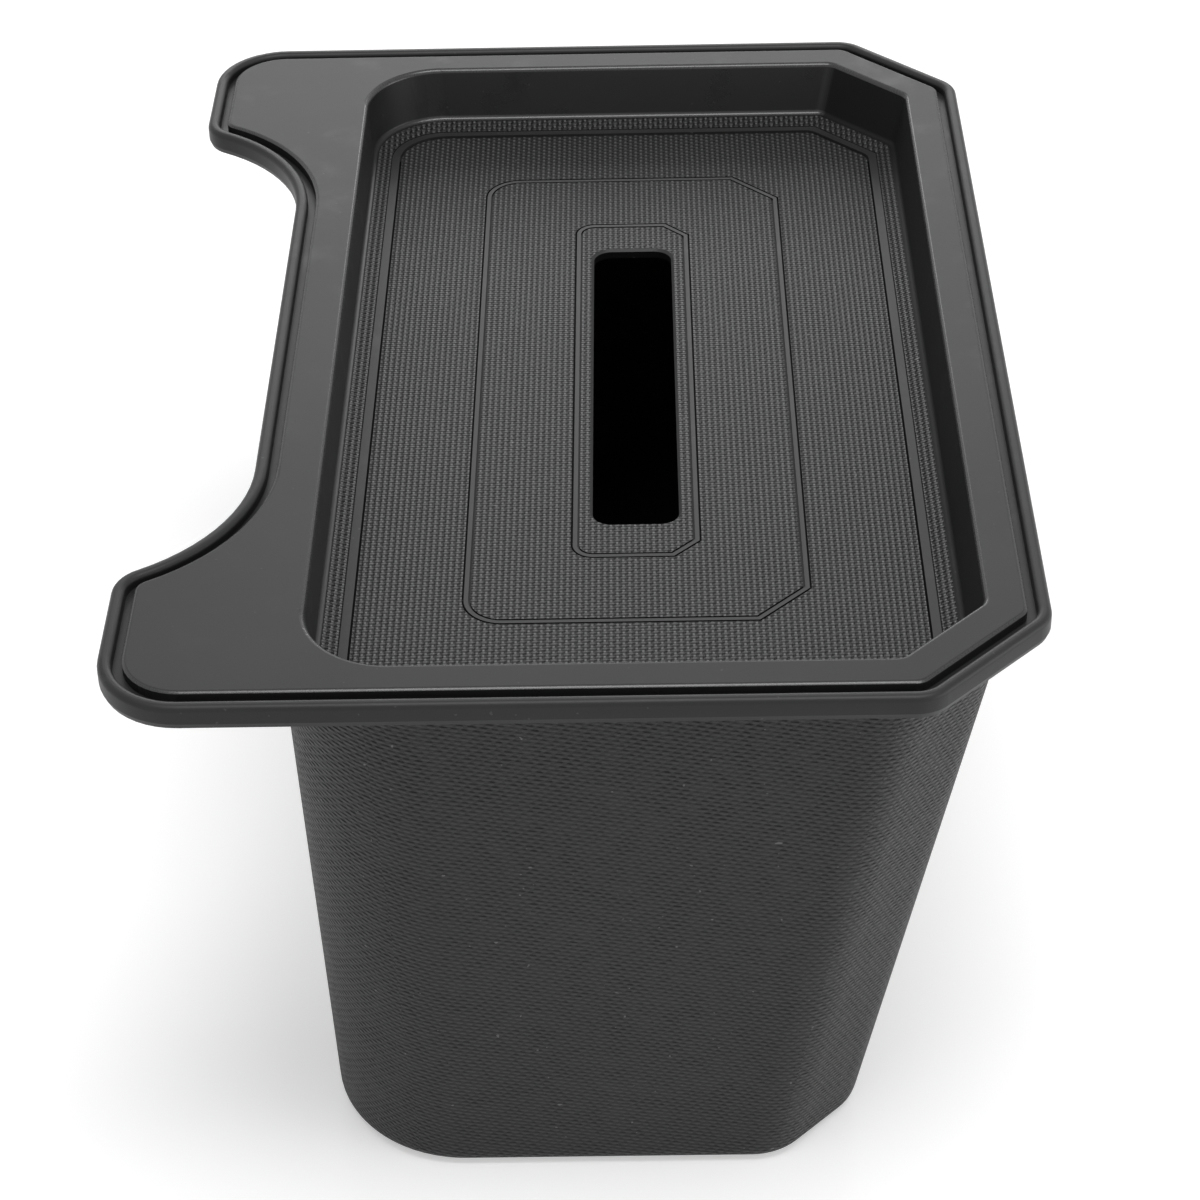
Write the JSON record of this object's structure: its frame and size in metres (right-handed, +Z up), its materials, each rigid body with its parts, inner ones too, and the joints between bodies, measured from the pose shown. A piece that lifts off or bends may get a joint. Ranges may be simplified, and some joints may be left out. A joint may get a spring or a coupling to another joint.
{
  "type": "console storage bin with tray lid",
  "caption": "Soft moulded bin for the side of a car's centre console: tapered open box with a notched, beaded rim, and a lift-out lid with a sunken tray and a tissue slot.",
  "frame": {"origin": "under the middle of the rim's outline, on the surface that the bin stands on", "axes": "+X from the notched console side to the chamfered side, +Y along the length, +Z up"},
  "size_m": [0.197, 0.29, 0.16],
  "materials": {
    "bin_rubber": "black moulded thermoplastic elastomer, woven grain on the walls, satin rim",
    "lid_rubber": "black moulded thermoplastic elastomer, satin plate, woven grain on the tray floor"
  },
  "bodies": {
    "bin": {"storage_bin": "bin_rubber"},
    "lid": {"tray_lid": "lid_rubber"}
  },
  "joints": [
    {"name": "lid_lift", "type": "slide", "parent": "bin", "child": "lid", "axis": [0, 0, 1], "range_m": [0, 0.15]}
  ]
}
